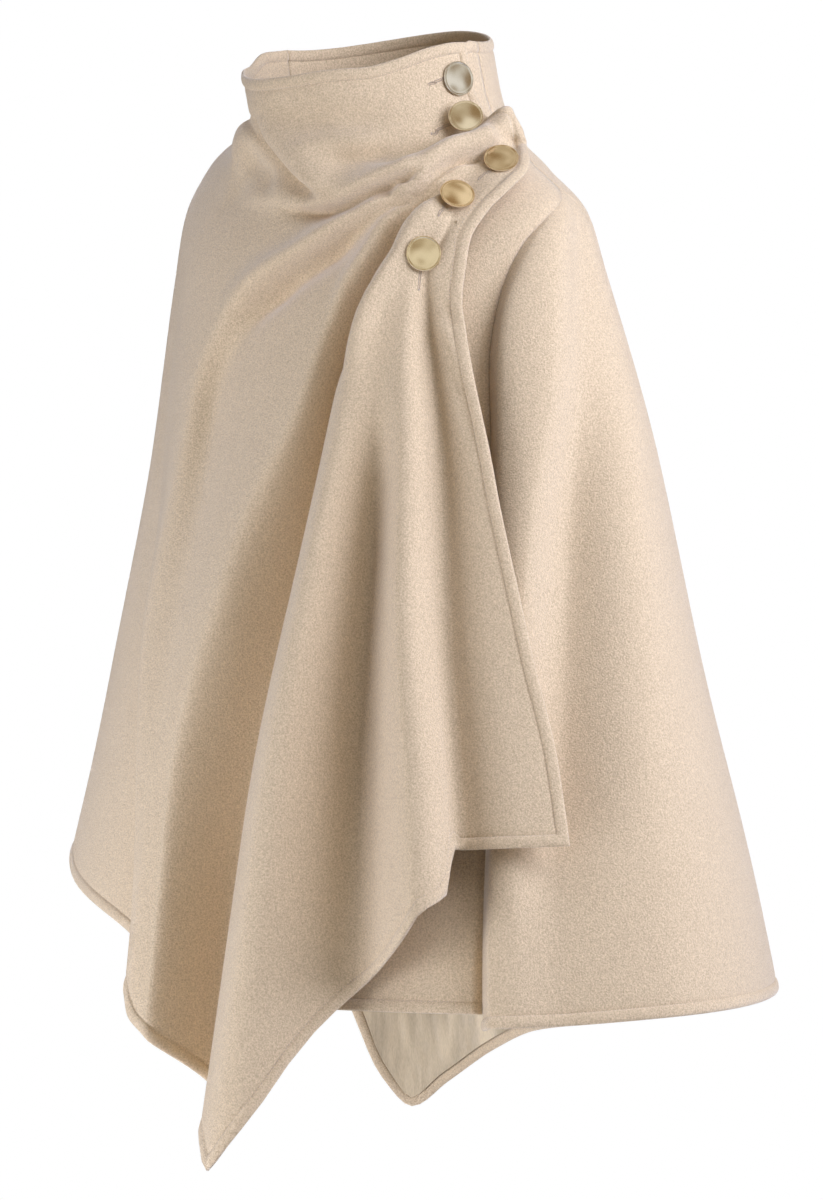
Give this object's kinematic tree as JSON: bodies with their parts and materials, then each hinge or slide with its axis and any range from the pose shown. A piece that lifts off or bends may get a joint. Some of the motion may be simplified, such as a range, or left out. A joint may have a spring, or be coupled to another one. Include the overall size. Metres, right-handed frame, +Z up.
{
  "type": "wool cape",
  "caption": "Hip-length wool cape with a funnel collar, a pointed front wrapped over and buttoned on the left shoulder, a wide cape-sleeve panel and a lined back.",
  "frame": {"origin": "middle of the neck base, where the collar turns into the shoulders and the wearer holds the cape up", "axes": "+Z up, the wearer faces -Y, +X towards the wearer's left"},
  "size_m": [0.6577, 0.552, 0.9655],
  "materials": {
    "wool": "camel beige felted wool with a short soft nap",
    "lining": "olive beige satin with a soft sheen",
    "button": "pale gold plating, mirror polished"
  },
  "bodies": {
    "root": {"front_overlap": "wool", "back": "wool", "left_front": "wool", "left_side": "wool", "back_lining": "lining", "button_1": "button", "button_2": "button", "button_3": "button", "button_4": "button", "button_5": "button"}
  },
  "joints": []
}
